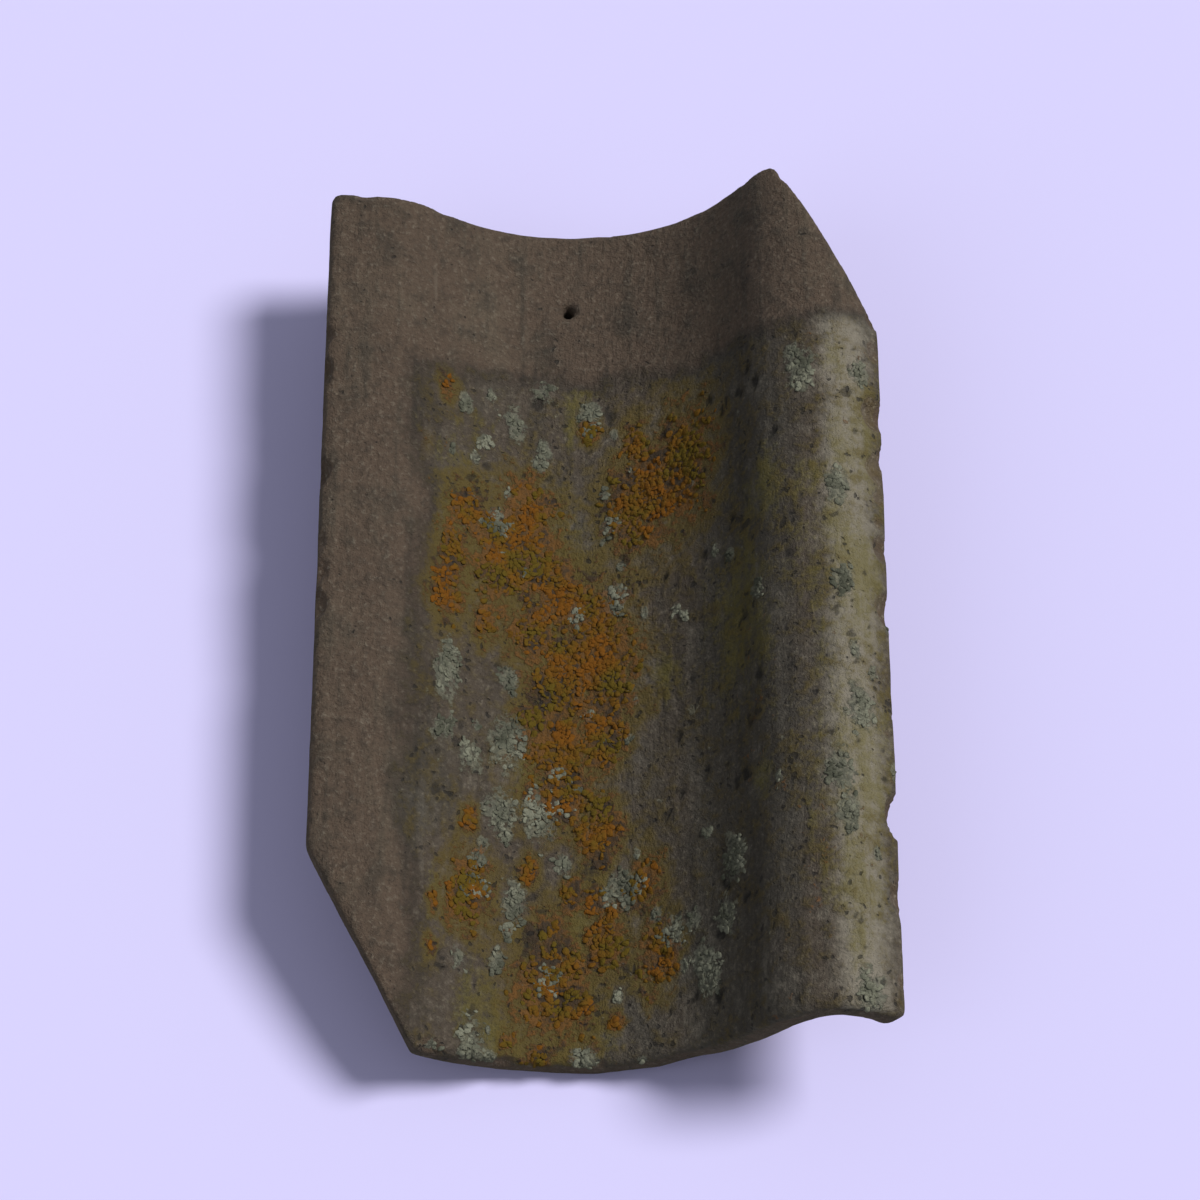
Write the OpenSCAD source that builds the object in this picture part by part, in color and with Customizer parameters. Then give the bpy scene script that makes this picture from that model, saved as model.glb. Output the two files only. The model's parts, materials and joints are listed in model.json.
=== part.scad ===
// Single-lap clay pantile: a shallow pan on the left, a roll on the right that
// covers the neighbour's flange, a hanging nib and a nail hole at the head.
//
// The tile is one bent wall. Seen from the tail, its faces are chains of arcs
// and straights that meet on common tangents. The wall is lofted along the tile
// through copies of that section, which shrink at both ends to round the edges.
// The tile is drawn level, with the bottom of the pan's upper face at z = 0 and
// the middle of its length at y = 0. It is then laid down on its tail edge and
// its nib, as it lies on a floor.

/* [Laying] */
// Width of roof that one tile covers
cover_w = 200; // [190:1:230]
// Length of roof that one tile covers
cover_l = 320; // [260:1:360]
// Width that the roll laps over the neighbour's flange
side_lap = 40; // [34:1:48]
// Length that the tile above laps over the head
head_lap = 80; // [60:1:100]
// Gap between the mitred corners of two laid tiles, on each axis
mitre_gap = 4; // [2:0.5:8]

/* [Section] */
// Thickness of the clay
wall_t = 14; // [11:0.5:17]
// Height of the roll's crest over the bottom of the pan
depth = 62; // [56:1:72]
// Radius of the pan's upper face
pan_r = 88; // [80:1:98]
// Radius of the roll's upper face
roll_r = 36; // [32:1:42]
// Slope of the web between the pan and the roll, in degrees
web_angle = 55; // [48:1:58]
// How far the roll curls down past its crest, in degrees
roll_curl = 44; // [36:1:56]
// Slope at which the left side leaves the pan, in degrees
side_angle = 38; // [34:1:42]
// Length of the straight between the pan and the flange's bend
side_rise = 10; // [3:0.5:14]
// Radius of the flange's bend, on the upper face
flange_r = 42; // [34:1:50]
// Slope of the flange that lies under the neighbour's roll, in degrees
flange_slope = 7; // [4:1:12]

/* [Edges] */
// Radius of the rounded tail and head edges, and round the nib's foot
edge_r = 3; // [1.5:0.5:4.5]
// How much rounder than that the two long rims are
rim_extra_r = 1; // [0.5:0.5:1.5]

/* [Nib] */
// Width of the nib at its root
nib_w = 62; // [50:1:70]
// Distance of the nib's middle from the pan's middle, towards the roll
nib_offset = 14; // [8:1:18]
// Height of the nib under the pan
nib_h = 16; // [12:0.5:20]
// Thickness of the nib at its root
nib_t = 20; // [18:0.5:26]
// Flat left between the nib's root and the rounded head edge
nib_inset = 1; // [0:0.5:5]
// How much each end and the back of the nib draw in towards its foot
nib_taper = 3.5; // [2:0.5:5]
// Radius of the nib's upright corners
nib_corner_r = 6; // [5:0.5:6.5]
// Radius of the hollow where the nib grows out of the wall
nib_root_r = 4; // [2:0.5:5]

/* [Nail hole] */
// Diameter of the nail hole
nail_d = 6; // [5:0.5:8]
// Distance of the nail hole from the head edge
nail_inset = 42; // [34:1:60]

/* [Hidden] */
$fn = 96;
clay = "#5a5147";
bend_step = 4;
round_step = 22.5;
same_point = 0.001;
nib_side_steps = 7;
nib_sink = 0.5;

tile_w = cover_w + side_lap;
tile_l = cover_l + head_lap;
half_l = tile_l / 2;
mitre_w = side_lap + mitre_gap;
mitre_l = head_lap + mitre_gap;
rim_r = edge_r + rim_extra_r;

// In the section's plane: the direction of a climb of a degrees, and its normal
function along(a) = [cos(a), sin(a)];
function normal(a) = along(a + 90);

// Joints of the upper face to the right of the pan's middle
pan_centre = [0, pan_r];
web_start = pan_centre - pan_r * normal(web_angle);
web_l = (depth - (pan_r + roll_r) * (1 - cos(web_angle))) / sin(web_angle);
roll_centre = web_start + web_l * along(web_angle) - roll_r * normal(web_angle);
roll_rim = roll_centre + roll_r * normal(-roll_curl);

// The two sides of the tile, at the outermost point of each rounded rim
right_x = (roll_rim - rim_r * normal(-roll_curl)).x + rim_r;
left_x = right_x - tile_w;
mid_x = (left_x + right_x) / 2;

// Joints of the upper face to the left of the pan's middle
side_start = pan_centre - pan_r * normal(-side_angle);
side_end = side_start - side_rise * along(-side_angle);
flange_centre = side_end - flange_r * normal(-side_angle);
flange_end = flange_centre + flange_r * normal(-flange_slope);
flange_rim_x = left_x + rim_r + (wall_t - rim_r) * sin(flange_slope);
flange_l = (flange_end.x - flange_rim_x) / cos(flange_slope);
flange_rim = flange_end - flange_l * along(-flange_slope);

// The nib's face towards the tail, which hooks over the batten
nib_face_y = half_l - edge_r - nib_inset - nib_root_r - nib_t;

// Tilt and shifts that lay the tile on its tail edge and its nib
rest_pitch = atan(nib_h / (nib_face_y + half_l));
rest_lift = (half_l - edge_r) * sin(rest_pitch) + (wall_t - edge_r) * cos(rest_pitch) + edge_r;
rest_tail_y = -(half_l - edge_r) * cos(rest_pitch) - (depth - edge_r) * sin(rest_pitch);
rest_head_y = (half_l - edge_r) * cos(rest_pitch) + (wall_t - edge_r) * sin(rest_pitch);

// Points of an arc between two polar angles
function arc(centre, r, from, to, step) =
    let (count = ceil(abs(to - from) / step))
    [for (i = [0:count]) centre + r * along(from + (to - from) * i / count)];

// Chain of the wall's upper face, from left to right, sunk by down into the wall
function face(down) = concat(
    arc(flange_centre, flange_r - down, 90 - flange_slope, 90 - side_angle, bend_step),
    arc(pan_centre, pan_r + down, -90 - side_angle, -90 + web_angle, bend_step),
    arc(roll_centre, roll_r - down, 90 + web_angle, 90 - roll_curl, bend_step)
);

// Rounded corner of a rim, whose centre is down below the rim's upper point
function corner(rim_point, slope, down, inset, from) =
    arc(rim_point - down * normal(slope), rim_r - inset, from, from - 90, round_step);

// A list backwards, and a closed outline without its repeated points
function reverse(list) = [for (i = [len(list) - 1:-1:0]) list[i]];
function joined(list) = [
    for (i = [0:len(list) - 1])
        if (norm(list[i] - list[(i + 1) % len(list)]) > same_point) list[i]
];

// Outline of the wall, moved inwards by inset, clockwise as seen from the tail.
// It starts at the left rim, and its second half mirrors its first, point by
// point, across the wall.
function section(inset) = joined(concat(
    corner(flange_rim, -flange_slope, rim_r, inset, 180 - flange_slope),
    face(inset),
    corner(roll_rim, -roll_curl, rim_r, inset, 90 - roll_curl),
    corner(roll_rim, -roll_curl, wall_t - rim_r, inset, -roll_curl),
    reverse(face(wall_t - inset)),
    corner(flange_rim, -flange_slope, wall_t - rim_r, inset, 270 - flange_slope)
));

// Stations of the loft's rounded head end, inwards: [place along the tile, inset]
head_stations = [
    for (a = [0:round_step:90]) [half_l - edge_r * (1 - cos(a)), edge_r * (1 - sin(a))]
];

// Closed solid through rings of as many points each. A ring runs clockwise as
// seen from before the first one, and its second half mirrors its first.
module loft(rings) {
    size = len(rings[0]);
    last = len(rings) - 1;
    skin = [
        for (k = [0:last - 1], i = [0:size - 1]) let (j = (i + 1) % size)
            [k * size + i, (k + 1) * size + i, (k + 1) * size + j, k * size + j]
    ];
    first_end = [for (i = [0:size / 2 - 2]) [i, i + 1, size - 2 - i, size - 1 - i]];
    last_end = [for (quad = first_end) [for (i = reverse(quad)) last * size + i]];
    polyhedron(points = [for (ring = rings) each ring], faces = concat(first_end, skin, last_end));
}

module wall() {
    tail_stations = [for (s = head_stations) [-s[0], s[1]]];
    stations = concat(tail_stations, reverse(head_stations));
    loft([for (s = stations) [for (p = section(s[1])) [p.x, s[0], p.y]]]);
}

// Height of the pan's underside at x
function underside(x) = pan_r - sqrt((pan_r + wall_t) ^ 2 - x ^ 2);

// Outline of the nib from above, counter-clockwise from the end towards the
// flange, with its ends and back drawn in by taper and all of it grown by grow
function nib_outline(taper, grow) =
    let (
        r = nib_corner_r + grow,
        x = nib_w / 2 - taper - nib_corner_r,
        face_y = nib_corner_r,
        back_y = nib_t - taper - nib_corner_r,
        sides = [for (i = [1:nib_side_steps - 1]) x * (2 * i / nib_side_steps - 1)]
    )
    [for (p = concat(
        arc([-x, face_y], r, 180, 270, round_step),
        [for (side_x = sides) [side_x, face_y - r]],
        arc([x, face_y], r, -90, 0, round_step),
        arc([x, back_y], r, 0, 90, round_step),
        [for (side_x = reverse(sides)) [side_x, back_y + r]],
        arc([-x, back_y], r, 90, 180, round_step)
    )) p + [nib_offset, nib_face_y]];

// The nib, lofted from its rounded foot up to a hollow root that follows the
// pan's underside. It is sunk a little there, and ends in the middle of the wall.
module nib() {
    foot_z = -wall_t - nib_h;
    quarter = [90:-round_step:0];
    foot = [
        for (a = quarter) [for (p = nib_outline(nib_taper, edge_r * (cos(a) - 1)))
            [p.x, p.y, foot_z + edge_r * (1 - sin(a))]]
    ];
    root = [
        for (a = quarter) [for (p = nib_outline(0, nib_root_r * (1 - sin(a))))
            [p.x, p.y, underside(p.x) + nib_sink - nib_root_r * (1 - cos(a))]]
    ];
    buried = [for (p = nib_outline(0, nib_root_r)) [p.x, p.y, underside(p.x) + wall_t / 2]];
    loft(concat(foot, root, [buried]));
}

// Wedge that mitres the corner at the right of the head
module mitre() {
    from = [right_x - mitre_w, half_l];
    to = [right_x, half_l - mitre_l];
    over = 0.2 * (to - from);
    translate([0, 0, -2 * depth]) linear_extrude(4 * depth)
        polygon([from - over, to + over, [right_x, half_l] + [mitre_w, mitre_l]]);
}

module pantile() {
    color(clay) difference() {
        union() {
            wall();
            nib();
        }
        mitre();
        translate([2 * mid_x, 0, 0]) rotate([0, 0, 180]) mitre();
        translate([0, half_l - nail_inset, -2 * wall_t]) cylinder(h = 3 * wall_t, d = nail_d);
    }
}

module laid_down() {
    translate([-mid_x, -(rest_tail_y + rest_head_y) / 2, rest_lift])
        rotate([rest_pitch, 0, 0]) children();
}

laid_down() pantile();
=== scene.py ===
"""Dresses a single-lap clay pantile: hand-made waver, chips and pits in the fired
clay, lichen and grime on the weathered face, and a plain studio stage around it.
"""
import json
import math

import bmesh
import bpy
import numpy as np
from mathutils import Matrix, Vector, noise


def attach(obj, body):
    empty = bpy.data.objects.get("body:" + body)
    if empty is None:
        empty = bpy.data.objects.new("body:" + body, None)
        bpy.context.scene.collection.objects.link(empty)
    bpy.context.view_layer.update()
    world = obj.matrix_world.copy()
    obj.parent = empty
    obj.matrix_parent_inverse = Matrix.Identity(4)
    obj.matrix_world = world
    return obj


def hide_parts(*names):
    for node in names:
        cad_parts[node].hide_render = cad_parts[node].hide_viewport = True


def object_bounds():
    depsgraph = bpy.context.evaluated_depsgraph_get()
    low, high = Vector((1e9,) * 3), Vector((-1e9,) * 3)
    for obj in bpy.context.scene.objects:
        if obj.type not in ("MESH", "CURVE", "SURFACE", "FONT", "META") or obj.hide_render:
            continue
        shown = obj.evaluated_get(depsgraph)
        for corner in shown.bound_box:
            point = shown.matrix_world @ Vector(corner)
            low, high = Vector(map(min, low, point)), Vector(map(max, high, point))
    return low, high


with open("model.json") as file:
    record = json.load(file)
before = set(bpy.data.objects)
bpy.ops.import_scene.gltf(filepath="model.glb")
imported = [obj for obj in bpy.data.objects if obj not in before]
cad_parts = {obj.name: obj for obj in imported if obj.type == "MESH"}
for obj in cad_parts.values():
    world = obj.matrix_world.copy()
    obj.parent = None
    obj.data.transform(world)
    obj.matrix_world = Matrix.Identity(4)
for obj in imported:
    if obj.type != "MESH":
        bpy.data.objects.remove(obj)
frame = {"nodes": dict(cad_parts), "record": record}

bl_info = {
    "name": "Weathered Clay Pantile",
    "version": (1, 0, 0),
    "blender": (4, 5, 0),
    "location": "View3D > Sidebar > Pantile",
    "description": "Weathers a clay roof tile and sets its stage",
    "category": "Object",
}

CAD_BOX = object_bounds()
MM = 0.001
TILE = "pantile"
BODY = "root"


# ---------------------------------------------------------------- the tile's frame


class TileFrame:
    """Axes of the tile itself, which lies with its head raised on the nib.

    x runs across the tile from the pan's lowest line towards the roll, y along it
    from its middle towards the head, and z up from the pan's upper face.
    """

    def __init__(self):
        hole = next(m for m in frame["record"]["mounts"] if m["name"] == "nail_hole")
        self.up = Vector(hole["axis"]).normalized()
        self.across = Vector((1, 0, 0))
        self.along = self.up.cross(self.across)
        on_hole = Vector(hole["pos_m"])
        wall = hole["dims"]["length_mm"] * MM
        mesh = frame["nodes"][TILE].data
        spans = [self.along.dot(v.co) for v in mesh.vertices]
        self.length = max(spans) - min(spans)
        hole_y = on_hole.dot(self.along) - (max(spans) + min(spans)) / 2
        self.origin = on_hole - hole_y * self.along + wall / 2 * self.up
        sides = [v.co.x - self.origin.x for v in mesh.vertices]
        self.left, self.right = min(sides), max(sides)
        top = max(mesh.vertices, key=lambda v: (v.co - self.origin).dot(self.up))
        self.crest_x = top.co.x - self.origin.x
        self.axes = np.array((self.across, self.along, self.up))

    def local(self, points):
        """Points of the scene, as rows, in the tile's own axes."""
        return (points - np.array(self.origin)) @ self.axes.T

    def world(self, points):
        """Points of the tile's own axes, as rows, in the scene."""
        return points @ self.axes + np.array(self.origin)

    def pitch(self):
        """Angle by which the head is raised."""
        return math.atan2(self.along.z, self.along.y)


TILE_FRAME = TileFrame()


# ------------------------------------------------------------------------ settings


def srgb(hex_colour):
    """Linear colour of an sRGB hex value such as #5a5147."""
    parts = [int(hex_colour[i:i + 2], 16) / 255 for i in (1, 3, 5)]
    linear = [c / 12.92 if c <= 0.04045 else ((c + 0.055) / 1.055) ** 2.4 for c in parts]
    return (*linear, 1.0)


def colour_property(name, description, hex_colour):
    """Colour setting whose default is an sRGB hex value."""
    return bpy.props.FloatVectorProperty(
        name=name, description=description, default=srgb(hex_colour), size=4,
        subtype="COLOR", min=0.0, max=1.0,
    )


def length_property(name, description, millimetres):
    """Length setting whose default is given in millimetres."""
    return bpy.props.FloatProperty(
        name=name, description=description, default=millimetres * MM, min=0.0,
        subtype="DISTANCE", unit="LENGTH",
    )


class PantileWear(bpy.types.PropertyGroup):
    """Sizes of the wear that is modelled in the tile's surface."""
    voxel: length_property("Mesh fineness", "Spacing of the tile's mesh", 1.78)
    arris: length_property("Arris", "Width of the eased edge of the mitres and the nail hole", 2.5)
    side_lap: length_property("Side lap", "Width that a neighbour's roll covers", 40)
    head_lap: length_property("Head lap", "Length that the tile above covers", 80)
    waver: length_property("Waver", "Unevenness of the hand-finished faces", 0.9)
    waver_size: length_property("Waver size", "Spacing of that unevenness", 75)
    edge_waver: length_property("Edge waver", "How far the cut tail and head edges wander", 2.8)
    edge_waver_size: length_property("Edge waver size", "Spacing of that wander", 42)
    chip_count: bpy.props.IntProperty(
        name="Chips", description="Chips along the tail, the head and both long rims", default=38)
    pit_count: bpy.props.IntProperty(
        name="Pits", description="Frost pits in the upper face", default=170)
    seed: bpy.props.IntProperty(name="Seed", description="Seed of the wear", default=11)


class PantileLichen(bpy.types.PropertyGroup):
    """Sizes and numbers of the lichens on the weathered face."""
    orange_count: bpy.props.IntProperty(
        name="Orange colonies", description="Colonies of the orange lichen", default=64)
    olive_count: bpy.props.IntProperty(
        name="Olive stains", description="Stains of the olive film", default=38)
    crust_count: bpy.props.IntProperty(
        name="Pale colonies", description="Colonies of the pale crust lichen", default=95)
    relief: length_property("Relief", "Thickness of the lichens' crust", 0.35)
    crust_lobe: length_property("Pale lobe", "Radius of a middling lobe of the pale lichen", 0.9)
    orange_lobe: length_property("Orange lobe", "Radius of a middling lobe of the orange lichen", 1.0)
    lobe_rise: bpy.props.FloatProperty(
        name="Lobe rise", description="Height of a lobe over its radius", default=0.42, subtype="FACTOR")
    seed: bpy.props.IntProperty(name="Seed", description="Seed of the lichens", default=6)


class PantileColours(bpy.types.PropertyGroup):
    """Colours of the clay and of what grows on it."""
    clay: colour_property("Clay", "Weathered brown clay", "#4b4136")
    clay_grey: colour_property("Grey clay", "Clay that the rain has washed grey", "#47433b")
    # Dark clay is grime in streaks and hollows, and also painted shade on the web, the flank that faces
    # away from the key lamp
    clay_dark_and_shade: colour_property("Dark clay", "Grimy clay of the web and hollows", "#27221b")
    # Worn clay is clay rubbed or washed clean, and also a painted highlight on the crest's lit side
    clay_light_and_highlight: colour_property("Worn clay", "Clay rubbed clean on crests and edges", "#8b8475")
    clay_bare: colour_property("Sheltered clay", "Clay of the laps, the underside and chips", "#5a4839")
    dust: colour_property("Dust", "Mortar dust and bloom, clearest on sheltered clay", "#6a604f")
    grime: colour_property("Grime", "Soot and dirt in pores and pits and along the laps", "#14110d")
    rust: colour_property("Orange lichen", "Growing edge of the orange lichen", "#6f450e")
    rust_core: colour_property("Rusty lichen", "Old middle of the orange lichen", "#46320d")
    amber: colour_property("Amber film", "Thin growth by the orange lichen, and its gold lobes", "#574812")
    olive: colour_property("Olive film", "Film of algae and yellow lichen", "#655d20")
    crust: colour_property("Pale lichen", "Pale grey-green crust lichen", "#7b7c6c")
    crust_core: colour_property("Old pale lichen", "Weathered middle of the crust", "#4c4e42")


class PantileStage(bpy.types.PropertyGroup):
    """Camera, lights and floor."""
    elevation: bpy.props.FloatProperty(
        name="Elevation", description="Height of the view above the horizon",
        default=math.radians(60), subtype="ANGLE")
    azimuth: bpy.props.FloatProperty(
        name="Azimuth", description="Turn of the view round the tile",
        default=0.0, subtype="ANGLE")
    lens: bpy.props.FloatProperty(
        name="Lens", description="Focal length in millimetres", default=110,
        subtype="DISTANCE_CAMERA")
    fill: bpy.props.FloatProperty(
        name="Fill", description="Share of the view's height that the tile takes",
        default=0.80, subtype="FACTOR")
    backdrop: colour_property("Backdrop", "Pale lavender round the tile", "#dad5ff")
    paper: colour_property("Paper", "Floor, lavender as the backdrop once it is lit", "#d5d0fa")
    bounce: colour_property("Bounce", "Grey that the floor throws back on the tile", "#a8a8ac")


# ----------------------------------------------------------------- shared functions


def add(tree, kind, links=None, **settings):
    """Adds a node with its settings; links gives its inputs a value or a socket.

    The settings come first, because they say which of its like-named sockets are in use.
    """
    node = tree.nodes.new(kind)
    for name, value in settings.items():
        setattr(node, name, value)
    for socket, value in (links or {}).items():
        if isinstance(value, bpy.types.NodeSocket):
            tree.links.new(value, node.inputs[socket])
        else:
            node.inputs[socket].default_value = value
    return node


def per_metre(millimetres):
    """Texture scale at which a pattern's feature measures that many millimetres."""
    return 1 / (millimetres * MM)


def weighted_sum(tree, terms):
    """Socket with the sum of the given sockets, each times its weight."""
    result = 0.0
    for socket, weight in terms:
        result = add(tree, "ShaderNodeMath", {0: socket, 1: weight, 2: result},
                     operation="MULTIPLY_ADD").outputs[0]
    return result


def smoothstep(low, high, value):
    """Smooth rise from 0 at low to 1 at high, for numpy arrays."""
    t = np.clip((value - low) / (high - low), 0, 1)
    return t * t * (3 - 2 * t)


def band(rise, fall, value):
    """Smooth rise over one pair of bounds and fall over the next, for numpy arrays."""
    return smoothstep(*rise, value) * (1 - smoothstep(*fall, value))


def cloud(points, size, seed, octaves=3, stretch=1.0):
    """Fractal noise from about -1 to 1 at each point, with features of that size.

    Each octave is half as large and half as strong as the one before, and each seed
    reads the noise some way off from the last. Stretch draws it out along the tile.
    """
    scaled = points / size
    scaled[:, 1] /= stretch
    scaled += seed * 7.31
    return np.array([noise.fractal(p, 1.0, 2.0, octaves) for p in scaled.tolist()])


def read_points(mesh):
    """Vertex positions of a mesh as rows."""
    flat = np.empty(len(mesh.vertices) * 3, np.float32)
    mesh.vertices.foreach_get("co", flat)
    return flat.reshape(-1, 3).astype(float)


def read_normals(mesh):
    """Vertex normals of a mesh as rows."""
    flat = np.empty(len(mesh.vertices) * 3, np.float32)
    mesh.vertex_normals.foreach_get("vector", flat)
    return flat.reshape(-1, 3).astype(float)


def write_points(mesh, points):
    """Moves the vertices of a mesh."""
    mesh.vertices.foreach_set("co", points.astype(np.float32).ravel())
    mesh.update()


def write_field(mesh, name, values):
    """Stores a number from 0 to 1 for each vertex, as an attribute for the materials."""
    field = mesh.attributes.new(name, "FLOAT", "POINT")
    field.data.foreach_set("value", np.clip(values, 0, 1).astype(np.float32))


def link_object(name, data):
    """New object of a mesh, a lamp or a camera, in the scene."""
    obj = bpy.data.objects.new(name, data)
    bpy.context.scene.collection.objects.link(obj)
    return obj


def applied(obj):
    """Turns the object's evaluated shape into its plain mesh and drops its modifiers."""
    depsgraph = bpy.context.evaluated_depsgraph_get()
    mesh = bpy.data.meshes.new_from_object(obj.evaluated_get(depsgraph))
    old = obj.data
    obj.modifiers.clear()
    obj.data = mesh
    bpy.data.meshes.remove(old)
    return obj


# ------------------------------------------------------------------ the fired clay


def fine_copy(wear):
    """Even, fine mesh of the CAD tile, with its sharp edges eased."""
    mesh = frame["nodes"][TILE].data.copy()
    mesh.materials.clear()
    welded = bmesh.new()
    welded.from_mesh(mesh)
    bmesh.ops.remove_doubles(welded, verts=welded.verts, dist=1e-6)
    welded.to_mesh(mesh)
    welded.free()
    obj = link_object(f"weathered_{TILE}", mesh)
    arris = obj.modifiers.new("arris", "BEVEL")
    arris.width = wear.arris
    arris.segments = 4
    arris.angle_limit = math.radians(35)
    arris.use_clamp_overlap = False
    # Where three edges meet, the eased arris would stand proud of the tile
    within = obj.modifiers.new("within", "SHRINKWRAP")
    within.target = frame["nodes"][TILE]
    within.wrap_mode = "INSIDE"
    remesh = obj.modifiers.new("even", "REMESH")
    remesh.mode = "VOXEL"
    remesh.voxel_size = wear.voxel
    ease = obj.modifiers.new("eased", "SMOOTH")
    ease.iterations = 8
    return applied(obj)


def bite(points, seat, radius, depth, roughness, seed):
    """Presses a lumpy ball into the surface at a seat, a point with its normal."""
    at, normal = seat
    offset = points - at - normal * (radius - depth)
    distance = np.linalg.norm(offset, axis=1)
    # Even the roughest lumps reach out no further than about 1.3 radii
    near = np.flatnonzero(distance < radius * 1.3)
    lump_size = radius * 0.5
    reach = radius * (1 + roughness * cloud(points[near], lump_size, seed, octaves=2))
    inside = distance[near] < reach
    hit = near[inside]
    level = offset[hit] @ normal
    bottom = -np.sqrt(reach[inside] ** 2 - distance[hit] ** 2 + level ** 2)
    points[hit] += np.outer(bottom - level, normal)


def chip_edges(points, normals, wear, dice):
    """Knocks chips out of the upper arris of the tail, the head and both long rims."""
    rim_width = 4 * MM
    at_right = points[:, 0] > TILE_FRAME.right - rim_width
    at_left = points[:, 0] < TILE_FRAME.left + rim_width
    at_end = np.abs(normals[:, 1]) > 0.45
    faces_up = normals[:, 2] > 0.3
    brink = np.flatnonzero(faces_up & (at_end | at_right | at_left))
    for index in range(wear.chip_count):
        at = brink[dice.integers(len(brink))]
        radius = dice.uniform(5.0, 16.0) * MM
        # Squared, so that few chips are deep
        depth = (0.8 + 3.0 * dice.random() ** 2) * MM
        seat = points[at], normals[at]
        bite(points, seat, radius, depth, roughness=0.07, seed=wear.seed + index)


def pit_face(points, normals, weathered, wear, dice):
    """Opens shallow frost pits in the weathered face."""
    face = np.flatnonzero(weathered > 0.9)
    first_seed = wear.seed + 100
    for index in range(wear.pit_count):
        at = face[dice.integers(len(face))]
        radius = dice.uniform(2.4, 5.0) * MM
        depth = radius * dice.uniform(0.12, 0.26)
        seat = points[at], normals[at]
        bite(points, seat, radius, depth, roughness=0.3, seed=first_seed + index)


def colonies(points, chance, count, radii, stretch, dice):
    """Closeness of each point to a colony: 1 in its middle, 0.5 on its rim, 0 far off.

    Most colonies are small, and chance says where they settle. They are stretched
    along the tile, because spores spread with the rain. Their rims are ragged, in a way
    that differs with their count.
    """
    seats = dice.choice(len(points), count, p=chance / chance.sum())
    small, large = (millimetres * MM for millimetres in radii)
    closeness = np.zeros(len(points))
    for seat in seats:
        radius = small * (large / small) ** (dice.random() ** 1.7)
        distance = np.linalg.norm((points - points[seat]) / (1, stretch, 1), axis=1)
        closeness = np.maximum(closeness, 1 - distance / (2 * radius))
    ragged = 0.2 * cloud(points, 13 * MM, seed=count) + 0.1 * cloud(points, 5 * MM, seed=count)
    return np.where(closeness > 0, closeness + ragged, 0)


def growth(points, normals, wear, lichen):
    """How strongly dirt, wear, painted light and shade, and each lichen mark every point, from 0 to 1."""
    dice = np.random.default_rng(lichen.seed)
    x, y = points[:, 0], points[:, 1]

    # The weathered face is clear of both laps, and its border wanders by a few millimetres
    left_open = TILE_FRAME.left + wear.side_lap
    head_open = TILE_FRAME.length / 2 - wear.head_lap
    wander = cloud(points, 26 * MM, seed=3) * 6 * MM
    wander += cloud(points, 90 * MM, seed=4, octaves=2) * 6 * MM
    weathered = smoothstep(-9 * MM, 12 * MM, head_open + wander - y)
    weathered *= smoothstep(-9 * MM, 16 * MM, x - left_open + wander)
    upper = smoothstep(-0.05, 0.35, normals[:, 2])
    tide = 4 * weathered * (1 - weathered) * upper
    weathered *= upper

    # The pan and the web rise and fade at shares of the open width. The web faces away from
    # the key lamp, and its field is used to paint shade on it. The crest strip is worn most
    # 10 mm outside its highest line, on the side that the key lamp lights, and so it is
    # also a painted highlight
    across = (x - left_open) / (TILE_FRAME.right - left_open)
    pan = band((-0.02, 0.22), (0.42, 0.6), across)
    web = band((0.54, 0.68), (0.74, 0.86), across)
    crest = np.exp(-((x - TILE_FRAME.crest_x - 10 * MM) / (10.5 * MM)) ** 2)
    # Orange and olive growth thrives in broad patches drawn out along the tile, and the
    # pale crust between them. All of it settles inside the weathered face.
    drift = smoothstep(-0.3, 0.6, cloud(points, 55 * MM, lichen.seed, stretch=2.2))
    settled = np.clip(weathered - 0.3, 0, 1)

    fields = {
        "weathered": weathered,
        "tide": tide,
        "drift": drift * weathered,
        "web": web * weathered,
        "crest": crest * weathered,
    }
    # Lichens: the ground that each likes, its colonies, their radii in mm, their stretch
    lichens = {
        "rust": (settled * (pan + 0.03) * (drift + 0.02),
                 lichen.orange_count, (2.5, 16), 1.7),
        "olive": (settled * (0.7 * pan + 0.8 * crest + 0.05) * (drift + 0.25),
                  lichen.olive_count, (6, 24), 2.2),
        "crust": (settled * (0.7 * pan + 0.6 * crest + 0.1) * (1.1 - 0.6 * drift),
                  lichen.crust_count, (2, 9), 1.5),
    }
    for name, (ground, count, radii, stretch) in lichens.items():
        fields[name] = colonies(points, ground, count, radii, stretch, dice) * weathered
    return fields


def make_uneven(points, normals, fields, wear, lichen):
    """Waves the pressed faces and the cut ends, and raises the lichens' thin crusts."""
    half = TILE_FRAME.length / 2
    swell = wear.waver * 0.8 * cloud(points, wear.waver_size, wear.seed, stretch=2.5)
    swell += wear.waver * 0.25 * cloud(points, 14 * MM, wear.seed + 1)
    # Sunk a little to make up for what the waver raises, so that the tile keeps to its box
    swell -= 0.35 * wear.waver
    crusted = smoothstep(0.45, 0.6, np.maximum(fields["crust"], fields["rust"]))
    swell += lichen.relief * crusted * (0.6 + 0.6 * cloud(points, 3.4 * MM, seed=9, octaves=2))
    fade = 22 * MM
    tail = smoothstep(-fade, 0, -half - points[:, 1])
    head = smoothstep(-fade, 0, points[:, 1] - half)
    outline = points * (1, 0, 1)
    inward = 0.5 + 0.5 * cloud(outline, wear.edge_waver_size, wear.seed + 2, octaves=2)
    points[:, 1] += (tail - head) * wear.edge_waver * inward
    points += normals * swell[:, None]


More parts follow.
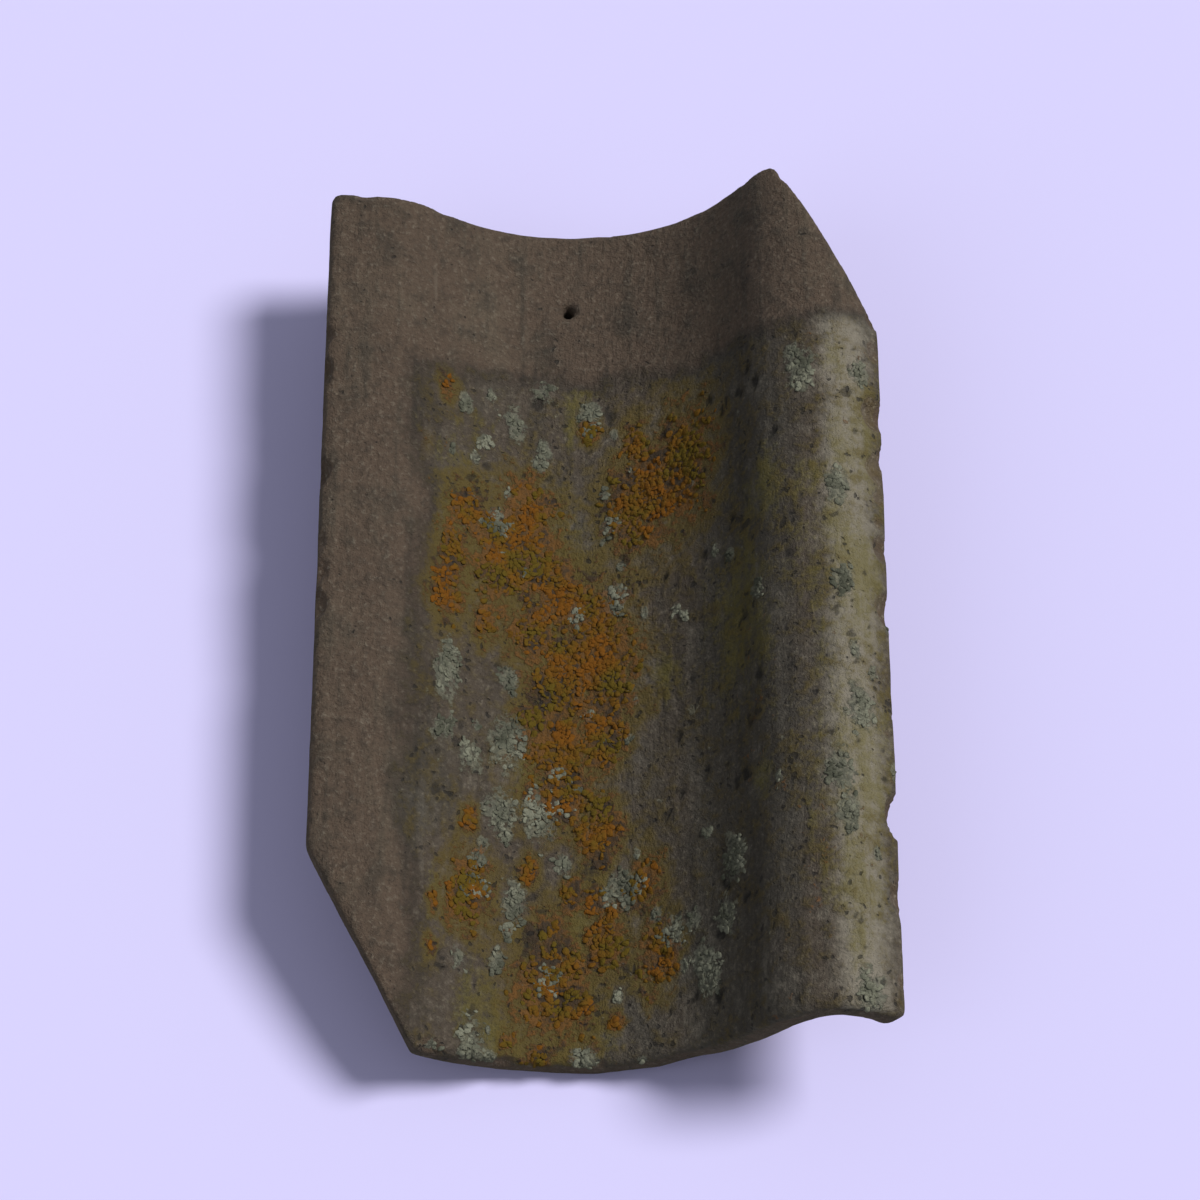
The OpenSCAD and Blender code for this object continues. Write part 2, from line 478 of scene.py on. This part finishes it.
class PANTILE_OT_fired_tile(bpy.types.Operator):
    """Model the fired clay with its waver, chips, pits and lichen relief"""
    bl_idname = "pantile.fired_tile"
    bl_label = "Fired Tile"

    def execute(self, context):
        wear = context.scene.pantile_wear
        lichen = context.scene.pantile_lichen
        dice = np.random.default_rng(wear.seed)
        tile = fine_copy(wear)
        points = TILE_FRAME.local(read_points(tile.data))
        normals = read_normals(tile.data) @ TILE_FRAME.axes.T
        fields = growth(points, normals, wear, lichen)

        make_uneven(points, normals, fields, wear, lichen)
        whole = points.copy()
        pit_face(points, normals, fields["weathered"], wear, dice)
        pitted = points.copy()
        chip_edges(points, normals, wear, dice)
        fields["pit"] = np.linalg.norm(pitted - whole, axis=1) / MM
        fields["chip"] = np.linalg.norm(points - pitted, axis=1) / MM

        # Nothing reaches below the level that the tile rests on
        placed = TILE_FRAME.world(points)
        placed[:, 2] = np.maximum(placed[:, 2], 0)
        write_points(tile.data, placed)
        for name, values in fields.items():
            write_field(tile.data, name, values)
        tile.data.shade_smooth()
        tile.data.materials.append(fired_clay(context.scene.pantile_colours))
        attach(tile, BODY)
        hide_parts(TILE)
        return {"FINISHED"}


def fired_clay(colours):
    """Unglazed fired clay, pressed and weathered.

    Dull and slightly gritty: high roughness, mottled by firing, streaked by
    run-off, darkened by soot in its pores, rubbed lighter along the crest with a
    painted highlight on its lit side, painted darker on the web as painted shade,
    and grown over with a film of algae and thin crusts of lichen.
    """
    material = bpy.data.materials.new("weathered_fired_clay")
    material.use_nodes = True
    tree = material.node_tree
    tree.nodes.clear()

    # Coordinates: straight, drawn out 11 times along the tile, and wobbled by a millimetre
    # or two
    place = add(tree, "ShaderNodeMapping", {
        "Vector": add(tree, "ShaderNodeTexCoord").outputs["Object"],
        "Rotation": (-TILE_FRAME.pitch(), 0, 0)}).outputs[0]
    run_off = add(tree, "ShaderNodeMapping", {"Vector": place, "Scale": (1, 0.09, 1)}).outputs[0]
    sway = add(tree, "ShaderNodeTexNoise", {
        "Vector": place, "Scale": per_metre(5), "Detail": 3}).outputs["Color"]
    wobbled = add(tree, "ShaderNodeVectorMath", {
        0: sway, 1: (6 * MM,) * 3, 2: place}, operation="MULTIPLY_ADD").outputs[0]

    # Signals: first the numbers that the mesh carries for each point
    fields = ("weathered", "drift", "rust", "olive", "crust", "web", "crest", "tide", "pit", "chip")
    signal = {
        name: add(tree, "ShaderNodeAttribute", attribute_name=name).outputs["Fac"]
        for name in fields
    }

    # Textures: the kind, where it lies, the size of its features in mm, its settings. Real
    # grit of 0.3 mm is too fine to show, so it is drawn at 0.9 mm.
    fractal, cells = "ShaderNodeTexNoise", "ShaderNodeTexVoronoi"
    textures = {
        "blotch": (fractal, place, 55, {"Detail": 4, "Roughness": 0.6}),
        "cloud": (fractal, place, 17, {"Detail": 5, "Roughness": 0.62}),
        "streak": (fractal, run_off, 6, {"Detail": 4, "Roughness": 0.6}),
        "mottle": (fractal, place, 5.5, {"Detail": 5, "Roughness": 0.65}),
        "fleck": (fractal, place, 2.1, {"Detail": 4, "Roughness": 0.65}),
        "grit": (fractal, place, 0.9, {"Detail": 3, "Roughness": 0.7}),
        "pores": (cells, wobbled, 4.0, {}),
        "spots": (fractal, wobbled, 6.5, {"Detail": 4, "Roughness": 0.55}),
        "grains": (cells, place, 1.9, {}),
    }
    for name, (kind, where, millimetres, inputs) in textures.items():
        node = add(tree, kind, {"Vector": where, "Scale": per_metre(millimetres), **inputs})
        signal[name] = node.outputs[0]
        if kind == cells:
            # Each cell's own random tone picks the few that show
            signal[name + "_chance"] = node.outputs["Color"]

    # Masks: the signals that they add up, and the sums at which they start and are full
    masks = {
        "grey": ({"blotch": 1, "web": 0.35, "crest": 0.3}, 0.46, 0.76),
        "cloudy": ({"cloud": 1}, 0.48, 0.72),
        "streaky": ({"streak": 1, "weathered": 0.05}, 0.5, 0.74),
        "washed": ({"streak": -1, "cloud": -0.6, "weathered": 0.08}, -0.66, -0.45),
        "mottled": ({"mottle": 1}, 0.48, 0.68),
        "flecked": ({"fleck": 1}, 0.52, 0.72),
        "specked": ({"grit": 0.6, "fleck": -0.6}, 0.03, 0.16),
        # Wear along the crest, and also a painted highlight on the side of it that the key lamp lights
        "rubbed_and_highlit": ({"crest": 1, "mottle": -0.8, "cloud": -0.9, "fleck": 0.5}, -0.6, 0.35),
        # Painted shade on the web, which faces away from the key lamp
        "shaded": ({"web": 1, "streak": 0.8, "cloud": 0.6}, 0.7, 2.0),
        "open": ({"weathered": 1, "mottle": 0.8, "cloud": 0.8}, 0.95, 1.6),
        "film": ({"olive": 1, "mottle": 1.3, "fleck": 0.9, "streak": 1.2}, 2.05, 2.85),
        "amber": ({"rust": 1.4, "mottle": 1.2, "cloud": 1.2, "fleck": 0.6}, 1.4, 2.1),
        "crusted": ({"crust": 1, "mottle": 1.0, "fleck": 0.9}, 1.42, 1.6),
        "crust_old": ({"crust": 0.5, "fleck": 1.2, "grains": 0.5}, 1.0, 1.4),
        "rusted": ({"rust": 1, "mottle": 1.5, "fleck": 1.1}, 1.7, 1.95),
        "rust_old": ({"rust": 1, "mottle": 1.3, "fleck": 1.0, "cloud": 0.8}, 2.1, 2.5),
        "rust_gone": ({"rust": 0.6, "cloud": 1.8, "mottle": 1.8}, 2.15, 2.5),
        "pored": ({"pores": -1, "pores_chance": 0.45, "cloud": 1.2, "weathered": 0.14}, 0.82, 0.96),
        "dotted": ({"spots": 1, "fleck": 0.4, "cloud": 0.3, "drift": -0.05}, 1.04, 1.14),
        "budded": ({"spots": -1, "fleck": 0.5, "drift": 0.12}, 0.0, 0.1),
        "tidal": ({"tide": 1, "mottle": 0.9, "streak": 0.7}, 1.0, 2.0),
        "dusty": ({"blotch": 1, "cloud": 1, "streak": 0.8}, 1.3, 1.8),
        "pitted": ({"pit": 1.6, "mottle": 1.2, "fleck": 0.9}, 1.3, 2.1),
        "chipped": ({"chip": 1, "mottle": 1.6, "fleck": 0.8}, 1.4, 2.3),
    }
    for name, (terms, starts, full) in masks.items():
        reach = weighted_sum(tree, [(signal[term], weight) for term, weight in terms.items()])
        signal[name] = add(tree, "ShaderNodeMapRange", {
            "Value": reach, "From Min": starts, "From Max": full},
            interpolation_type="SMOOTHSTEP").outputs[0]

    # Coats, from the lowest up: each colour, the mask that it follows, its strength, and a
    # mask that bounds it. A coat of negative strength covers what its mask leaves free.
    tone = {name: tuple(getattr(colours, name)) for name in PantileColours.__annotations__}
    coats = (
        ("clay_bare", "open", -0.6, None),
        ("dust", "dusty", 0.4, None),
        ("clay_grey", "grey", 0.8, "open"),
        ("clay_dark_and_shade", "cloudy", 0.6, None),
        ("clay_dark_and_shade", "streaky", 0.5, None),
        ("clay_light_and_highlight", "washed", 0.22, None),
        ("clay_dark_and_shade", "mottled", 0.4, None),
        ("clay_light_and_highlight", "flecked", 0.28, None),
        ("grime", "specked", 0.35, None),
        # Painted shade: darker clay on the web, which faces away from the key lamp
        ("clay_dark_and_shade", "shaded", 0.3, "open"),
        ("grime", "tidal", 0.5, None),
        # Worn crest, and a painted highlight on the crest's lit side
        ("clay_light_and_highlight", "rubbed_and_highlit", 0.8, "open"),
        ("olive", "film", 0.65, "open"),
        ("amber", "amber", 0.85, "open"),
        ("clay_bare", "chipped", 0.5, None),
        ("clay_light_and_highlight", "flecked", 0.5, "chipped"),
        ("crust", "crusted", 0.6, "open"),
        ("crust_core", "crust_old", 0.8, "crusted"),
        ("rust", "rusted", 0.75, "open"),
        ("rust_core", "rust_old", 0.8, "rusted"),
        ("clay_dark_and_shade", "rust_gone", 0.7, "amber"),
        ("crust", "dotted", 0.45, "open"),
        ("rust", "budded", 0.6, "open"),
        ("grime", "pored", 0.7, None),
        ("grime", "pitted", 0.6, None),
    )
    paint = tone["clay"]
    for colour, mask, strength, bound in coats:
        cover = weighted_sum(tree, [(signal[mask], abs(strength))])
        if strength < 0:
            cover = add(tree, "ShaderNodeMath", {
                0: abs(strength), 1: cover}, operation="SUBTRACT").outputs[0]
        if bound:
            cover = add(tree, "ShaderNodeMath", {
                0: cover, 1: signal[bound]}, operation="MULTIPLY").outputs[0]
        paint = add(tree, "ShaderNodeMix", {
            "Factor": cover, "A": paint, "B": tone[colour]}, data_type="RGBA").outputs["Result"]

    # Relief in millimetres
    relief = {
        "cloud": 3.0, "mottle": 2.6, "fleck": 1.5, "grit": 0.8, "streak": 1.2, "crusted": 0.35,
        "crust_old": -0.2, "rusted": 0.5, "rust_gone": -0.3, "dotted": 0.3, "budded": 0.4, "pored": -0.8,
    }
    height = weighted_sum(tree, [(signal[name], weight) for name, weight in relief.items()])
    bump = add(tree, "ShaderNodeBump", {"Height": height, "Distance": MM, "Strength": 1.0}).outputs[0]
    rough = add(tree, "ShaderNodeMapRange", {
        "Value": signal["rubbed_and_highlit"], "To Min": 0.84, "To Max": 0.55}).outputs[0]
    shader = add(tree, "ShaderNodeBsdfPrincipled", {
        "Base Color": paint, "Roughness": rough, "Normal": bump, "IOR": 1.5}).outputs[0]
    add(tree, "ShaderNodeOutputMaterial", {"Surface": shader})
    return material


# ------------------------------------------------------------------------ lichens


def lobe_tree(name, material):
    """Geometry nodes that pack small lobes over the parts of a face that a lichen covers."""
    tree = bpy.data.node_groups.new(name, "GeometryNodeTree")
    sockets = tree.interface
    sockets.new_socket("Geometry", in_out="OUTPUT", socket_type="NodeSocketGeometry")
    for title, kind in (("Geometry", "Geometry"), ("Cover", "Float"), ("Radius", "Float"),
                        ("Rise", "Float"), ("Seed", "Int")):
        sockets.new_socket(title, in_out="INPUT", socket_type=f"NodeSocket{kind}")
    given = add(tree, "NodeGroupInput").outputs

    # Seats: at first one to each square millimetre, less those that stand too close, and
    # fewer towards the ragged rim of each colony
    ragged = add(tree, "ShaderNodeTexNoise", {"Scale": per_metre(4.5), "Detail": 3}).outputs[0]
    gaps = add(tree, "ShaderNodeTexNoise", {"Scale": per_metre(13), "Detail": 2}).outputs[0]
    cover = weighted_sum(tree, [(given["Cover"], 1), (ragged, 0.9), (gaps, 0.7)])
    density = add(tree, "ShaderNodeMapRange", {
        "Value": cover, "From Min": 1.3, "From Max": 1.7}).outputs[0]
    radii_apart = 1.25
    apart = add(tree, "ShaderNodeMath", {
        0: given["Radius"], 1: radii_apart}, operation="MULTIPLY").outputs[0]
    seats = add(tree, "GeometryNodeDistributePointsOnFaces", {
        "Mesh": given["Geometry"], "Distance Min": apart, "Density Max": 1e6,
        "Density Factor": density, "Seed": given["Seed"]}, distribute_method="POISSON")

    # Lobes: flat, longer than wide, turned any way, tilted a little, and of many sizes
    tilt, length, width = 0.35, 1.7, 1.2
    turn = add(tree, "FunctionNodeRandomValue", {
        "Min": (-tilt, -tilt, 0), "Max": (tilt, tilt, math.tau), "Seed": given["Seed"]},
        data_type="FLOAT_VECTOR").outputs["Value"]
    rotation = add(tree, "FunctionNodeRotateRotation", {
        "Rotation": seats.outputs["Rotation"], "Rotate By": turn}, rotation_space="LOCAL").outputs[0]
    growth_rate = add(tree, "FunctionNodeRandomValue", {
        "Min": 0.55, "Max": 1.35, "Seed": given["Seed"]}, data_type="FLOAT").outputs["Value"]
    size = add(tree, "ShaderNodeMath", {
        0: growth_rate, 1: given["Radius"]}, operation="MULTIPLY").outputs[0]
    flat = add(tree, "ShaderNodeCombineXYZ", {"X": length, "Y": width, "Z": given["Rise"]}).outputs[0]
    scale = add(tree, "ShaderNodeVectorMath", {0: flat, "Scale": size}, operation="SCALE").outputs[0]
    lobe = add(tree, "GeometryNodeMeshUVSphere", {"Radius": 1, "Segments": 8, "Rings": 4}).outputs[0]
    lobes = add(tree, "GeometryNodeInstanceOnPoints", {
        "Points": seats.outputs["Points"], "Instance": lobe,
        "Rotation": rotation, "Scale": scale}).outputs[0]

    # Each lobe keeps a tone of its own and is pushed out of its round shape
    tone = add(tree, "FunctionNodeRandomValue", {
        "Min": 0, "Max": 1, "Seed": 1}, data_type="FLOAT").outputs["Value"]
    toned = add(tree, "GeometryNodeStoreNamedAttribute", {
        "Geometry": lobes, "Name": "tone", "Value": tone},
        data_type="FLOAT", domain="INSTANCE").outputs[0]
    real = add(tree, "GeometryNodeRealizeInstances", {"Geometry": toned}).outputs[0]
    lumps = add(tree, "ShaderNodeTexNoise", {"Scale": per_metre(2.4), "Detail": 1}).outputs["Color"]
    furthest = 1.1 * MM
    push = add(tree, "ShaderNodeVectorMath", {
        0: lumps, 1: (2 * furthest,) * 3, 2: (-furthest,) * 3}, operation="MULTIPLY_ADD").outputs[0]
    pushed = add(tree, "GeometryNodeSetPosition", {"Geometry": real, "Offset": push}).outputs[0]
    finished = add(tree, "GeometryNodeSetMaterial", {
        "Geometry": pushed, "Material": material}).outputs[0]
    add(tree, "NodeGroupOutput", {"Geometry": finished})
    return tree


def grow_lichen(name, material, cover, radius, rise, seed):
    """Piece of lichen lobes on the weathered tile, where its cover attribute is high."""
    tile = bpy.data.objects[f"weathered_{TILE}"]
    obj = link_object(name, tile.data.copy())
    obj.data.materials.clear()
    modifier = obj.modifiers.new("lobes", "NODES")
    modifier.node_group = lobe_tree(name, material)
    keys = {item.name: item.identifier for item in modifier.node_group.interface.items_tree
            if item.in_out == "INPUT"}
    modifier[keys["Cover"] + "_use_attribute"] = True
    modifier[keys["Cover"] + "_attribute_name"] = cover
    modifier[keys["Radius"]] = radius
    modifier[keys["Rise"]] = rise
    modifier[keys["Seed"]] = seed
    applied(obj)
    obj.data.shade_smooth()
    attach(obj, BODY)


def lichen_crust(name, bright, dull, dark):
    """Crust of a lichen that grows in tight lobes.

    Matt and chalky, with no gloss at all. It turns from bright to dull over the width
    of a colony, each lobe is a little lighter or duller than the next, and its grain
    is drawn at 0.6 mm, coarser than the real 0.2 mm.
    """
    material = bpy.data.materials.new(name)
    material.use_nodes = True
    tree = material.node_tree
    tree.nodes.clear()
    place = add(tree, "ShaderNodeTexCoord").outputs["Object"]
    tone = add(tree, "ShaderNodeAttribute", attribute_name="tone").outputs["Fac"]
    drift, grain, patch = (
        add(tree, "ShaderNodeTexNoise", {
            "Vector": place, "Scale": per_metre(millimetres), "Detail": detail}).outputs[0]
        for millimetres, detail in ((9, 4), (0.6, 2), (24, 3)))

    dullness = weighted_sum(tree, [(tone, 0.15), (drift, 1.4), (patch, 1.8)])
    duller = add(tree, "ShaderNodeMapRange", {
        "Value": dullness, "From Min": 1.45, "From Max": 1.9}).outputs[0]
    paint = add(tree, "ShaderNodeMix", {
        "Factor": duller, "A": tuple(bright), "B": tuple(dull)}, data_type="RGBA").outputs["Result"]
    darkness = weighted_sum(tree, [(tone, -0.25), (grain, 1.0)])
    darker = add(tree, "ShaderNodeMapRange", {
        "Value": darkness, "From Min": 0.38, "From Max": 0.62, "To Max": 0.6}).outputs[0]
    paint = add(tree, "ShaderNodeMix", {
        "Factor": darker, "A": paint, "B": tuple(dark)}, data_type="RGBA").outputs["Result"]
    bump = add(tree, "ShaderNodeBump", {
        "Height": grain, "Distance": 0.5 * MM, "Strength": 1.0}).outputs[0]
    shader = add(tree, "ShaderNodeBsdfPrincipled", {
        "Base Color": paint, "Roughness": 0.95, "Normal": bump, "Specular IOR Level": 0.2}).outputs[0]
    add(tree, "ShaderNodeOutputMaterial", {"Surface": shader})
    return material


class PANTILE_OT_pale_lichen(bpy.types.Operator):
    """Grow the lobes of the pale crust lichen"""
    bl_idname = "pantile.pale_lichen"
    bl_label = "Pale Lichen"

    def execute(self, context):
        lichen = context.scene.pantile_lichen
        colours = context.scene.pantile_colours
        material = lichen_crust(
            "pale_crust_lichen", colours.crust, colours.crust_core, colours.clay_dark_and_shade)
        grow_lichen(
            "pale_lichen", material, "crust", lichen.crust_lobe, lichen.lobe_rise, lichen.seed)
        return {"FINISHED"}


class PANTILE_OT_orange_lichen(bpy.types.Operator):
    """Grow the lobes of the orange lichen"""
    bl_idname = "pantile.orange_lichen"
    bl_label = "Orange Lichen"

    def execute(self, context):
        lichen = context.scene.pantile_lichen
        colours = context.scene.pantile_colours
        material = lichen_crust(
            "orange_leaf_lichen", colours.rust, colours.amber, colours.rust_core)
        grow_lichen(
            "orange_lichen", material, "rust", lichen.orange_lobe, lichen.lobe_rise, lichen.seed + 1)
        return {"FINISHED"}


# --------------------------------------------------------------------------- stage


def soft_sun(name, from_side, strength, spread, tint):
    """Even light from one side, which spreads over that many degrees and so is soft."""
    lamp = bpy.data.lights.new(name, "SUN")
    lamp.energy = strength
    lamp.angle = math.radians(spread)
    lamp.color = tint
    obj = link_object(name, lamp)
    obj.rotation_euler = Vector(from_side).to_track_quat("Z", "Y").to_euler()


def pale_floor(stage):
    """Seamless paper, matt: it shows lavender, but throws a plain grey on the tile."""
    material = bpy.data.materials.new("matt_backdrop_paper")
    material.use_nodes = True
    tree = material.node_tree
    tree.nodes.clear()
    seen = add(tree, "ShaderNodeLightPath").outputs["Is Camera Ray"]
    tone = add(tree, "ShaderNodeMix", {
        "Factor": seen, "A": tuple(stage.bounce), "B": tuple(stage.paper)},
        data_type="RGBA").outputs["Result"]
    shader = add(tree, "ShaderNodeBsdfPrincipled", {
        "Base Color": tone, "Roughness": 0.9, "Specular IOR Level": 0.0}).outputs[0]
    add(tree, "ShaderNodeOutputMaterial", {"Surface": shader})
    return material


class PANTILE_OT_stage(bpy.types.Operator):
    """Set the floor, the lamps, the world and the camera"""
    bl_idname = "pantile.stage"
    bl_label = "Stage"

    def execute(self, context):
        stage = context.scene.pantile_stage
        scene = context.scene
        low, high = CAD_BOX
        middle = (low + high) / 2
        reach = 8.0
        corners = [(-reach, -reach, 0), (reach, -reach, 0), (reach, reach, 0), (-reach, reach, 0)]
        sheet = bpy.data.meshes.new("floor")
        sheet.from_pydata(corners, [], [range(4)])
        sheet.materials.append(pale_floor(stage))
        floor = link_object("floor", sheet)

        soft_sun("key_right", from_side=(1.0, 0.28, 1.3), strength=3.15, spread=20,
                 tint=(1.0, 0.98, 0.95))
        soft_sun("fill_left", from_side=(-0.8, -0.7, 0.9), strength=0.35, spread=40,
                 tint=(0.88, 0.93, 1.0))

        world = bpy.data.worlds.new("studio")
        scene.world = world
        world.use_nodes = True
        tree = world.node_tree
        tree.nodes.clear()
        seen = add(tree, "ShaderNodeLightPath").outputs["Is Camera Ray"]
        ambient = add(tree, "ShaderNodeBackground", {
            "Color": (0.9, 0.93, 1, 1), "Strength": 0.24}).outputs[0]
        backdrop = add(tree, "ShaderNodeBackground", {
            "Color": tuple(stage.backdrop), "Strength": 1}).outputs[0]
        mixed = add(tree, "ShaderNodeMixShader", {0: seen, 1: ambient, 2: backdrop}).outputs[0]
        add(tree, "ShaderNodeOutputWorld", {"Surface": mixed})

        lens = bpy.data.cameras.new("camera")
        lens.lens = stage.lens
        camera = link_object("camera", lens)
        toward = Vector((
            math.sin(stage.azimuth) * math.cos(stage.elevation),
            -math.cos(stage.azimuth) * math.cos(stage.elevation),
            math.sin(stage.elevation),
        ))
        seen_length = TILE_FRAME.length * math.sin(stage.elevation)
        seen_height = (high.z - low.z) * math.cos(stage.elevation)
        distance = (seen_length + seen_height) / stage.fill * stage.lens / lens.sensor_width
        # The tail lies nearer to the camera than the middle, and would fill more of the view
        nearer = TILE_FRAME.length * 0.12
        camera.location = middle + toward * (distance + nearer)
        camera.rotation_euler = toward.to_track_quat("Z", "Y").to_euler()
        scene.camera = camera
        scene.view_settings.view_transform = "Standard"
        return {"FINISHED"}


class PANTILE_PT_panel(bpy.types.Panel):
    """Sidebar panel with the tile's steps and settings"""
    bl_idname = "PANTILE_PT_panel"
    bl_label = "Clay Pantile"
    bl_space_type = "VIEW_3D"
    bl_region_type = "UI"
    bl_category = "Pantile"

    def draw(self, context):
        for operator in OPERATORS:
            self.layout.operator(operator.bl_idname)
        for name, group in GROUPS.items():
            column = self.layout.column(align=True)
            for field in group.__annotations__:
                column.prop(getattr(context.scene, name), field)


GROUPS = {
    "pantile_wear": PantileWear,
    "pantile_lichen": PantileLichen,
    "pantile_colours": PantileColours,
    "pantile_stage": PantileStage,
}
OPERATORS = (
    PANTILE_OT_stage,
    PANTILE_OT_fired_tile,
    PANTILE_OT_pale_lichen,
    PANTILE_OT_orange_lichen,
)


def register():
    """Registers the settings, the operators and the panel."""
    for name, group in GROUPS.items():
        bpy.utils.register_class(group)
        setattr(bpy.types.Scene, name, bpy.props.PointerProperty(type=group))
    for cls in (*OPERATORS, PANTILE_PT_panel):
        bpy.utils.register_class(cls)


def unregister():
    """Removes what register added."""
    for cls in (PANTILE_PT_panel, *reversed(OPERATORS)):
        bpy.utils.unregister_class(cls)
    for name, group in reversed(GROUPS.items()):
        delattr(bpy.types.Scene, name)
        bpy.utils.unregister_class(group)


def main():
    """Builds everything in order."""
    register()
    bpy.ops.pantile.stage()
    bpy.ops.pantile.fired_tile()
    bpy.ops.pantile.pale_lichen()
    bpy.ops.pantile.orange_lichen()


if __name__ == "__main__":
    main()
